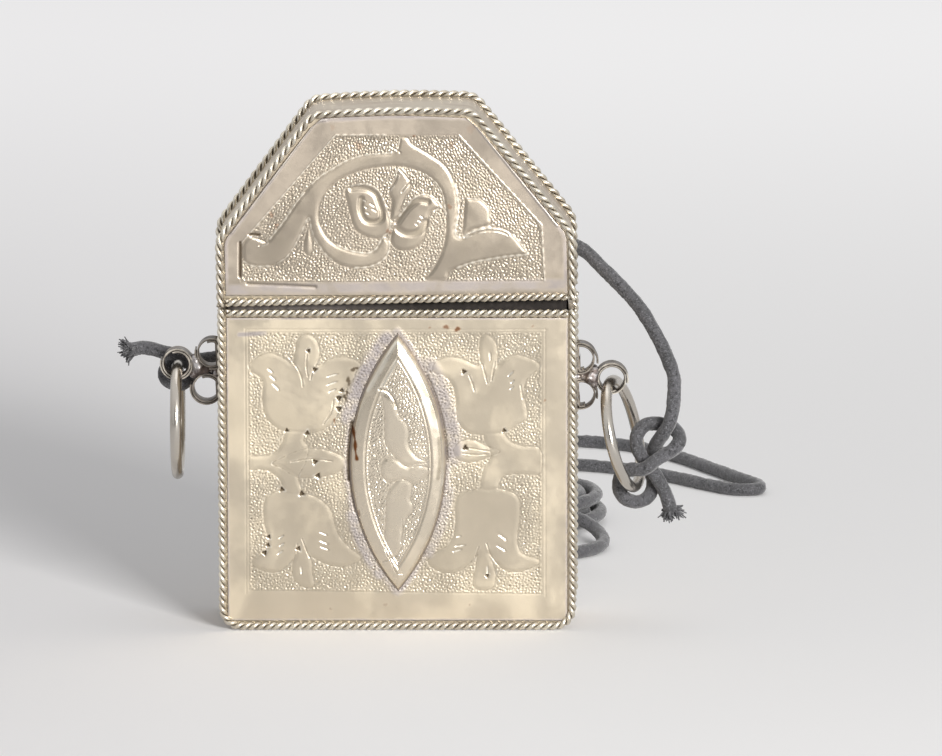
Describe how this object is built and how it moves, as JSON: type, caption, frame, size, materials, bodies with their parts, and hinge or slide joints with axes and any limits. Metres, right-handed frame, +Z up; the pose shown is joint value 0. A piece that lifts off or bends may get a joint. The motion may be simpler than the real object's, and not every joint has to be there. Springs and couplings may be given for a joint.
{
  "type": "quran box pendant",
  "caption": "Flat metal amulet box on a neck cord: a slip-on cap over a collared body, twisted wire edging, a raised boss, and hanging rings for the cord.",
  "frame": {"origin": "on the surface that the box stands on, below the middle of its body", "axes": "+X to the right seen from the chased front, +Y towards the back, +Z up"},
  "size_m": [0.0943, 0.1467, 0.0752],
  "materials": {
    "body_sheet": "aged nickel-silver sheet, chased",
    "lid_sheet": "aged nickel-silver sheet, chased, greyer",
    "band_sheet": "dull tarnished nickel-silver strip",
    "boss_sheet": "brighter raised sheet, rubbed at the rim",
    "edge_wire": "twisted silvery wire, dark in its grooves",
    "rolled_strip": "tarnished rolled strip with bright edges",
    "ring_wire": "polished white-metal wire",
    "solder": "dull grey solder",
    "cord": "dark grey waxed cotton cord",
    "tie": "dark thread tie"
  },
  "bodies": {
    "case": {"body_band": "band_sheet", "body_front_wall": "body_sheet", "body_back_wall": "body_sheet", "body_front_panel": "body_sheet", "centre_boss": "boss_sheet", "lid_collar": "band_sheet", "body_front_edge_wire": "edge_wire", "body_front_seam_wire": "edge_wire", "body_back_edge_wire": "edge_wire", "body_back_seam_wire": "edge_wire", "left_upper_rolled_ring": "rolled_strip", "left_lower_rolled_ring": "rolled_strip", "left_outer_rolled_ring": "rolled_strip", "left_ring_solder": "solder", "right_upper_rolled_ring": "rolled_strip", "right_lower_rolled_ring": "rolled_strip", "right_outer_rolled_ring": "rolled_strip", "right_ring_solder": "solder", "cord_right_neck": "cord", "cord_far_run": "cord", "cord_coil": "cord", "coil_tie": "tie", "cord_left_run": "cord", "cord_left_neck": "cord"},
    "cap": {"lid_band": "band_sheet", "lid_front_wall": "lid_sheet", "lid_back_wall": "lid_sheet", "lid_front_panel": "lid_sheet", "lid_front_edge_wire": "edge_wire", "lid_front_seam_wire": "edge_wire", "lid_back_edge_wire": "edge_wire", "lid_back_seam_wire": "edge_wire"},
    "left_ring": {"left_hanging_ring": "ring_wire", "left_knot": "cord"},
    "right_ring": {"right_hanging_ring": "ring_wire", "right_knot": "cord"}
  },
  "joints": [
    {"name": "cap_lift", "type": "slide", "parent": "case", "child": "cap", "axis": [0, 0, 1], "range_m": [0, 0.04]},
    {"name": "left_ring_swing", "type": "hinge", "parent": "case", "child": "left_ring", "pos_m": [-0.03125, 0, 0.0367], "axis": [0, 1, 0], "range_deg": [-17, 100], "deforming": ["cord_left_neck"]},
    {"name": "right_ring_swing", "type": "hinge", "parent": "case", "child": "right_ring", "pos_m": [0.0303, 0, 0.0345], "axis": [-0.2419, -0.9703, 0], "range_deg": [-20, 100], "deforming": ["cord_right_neck"]}
  ]
}
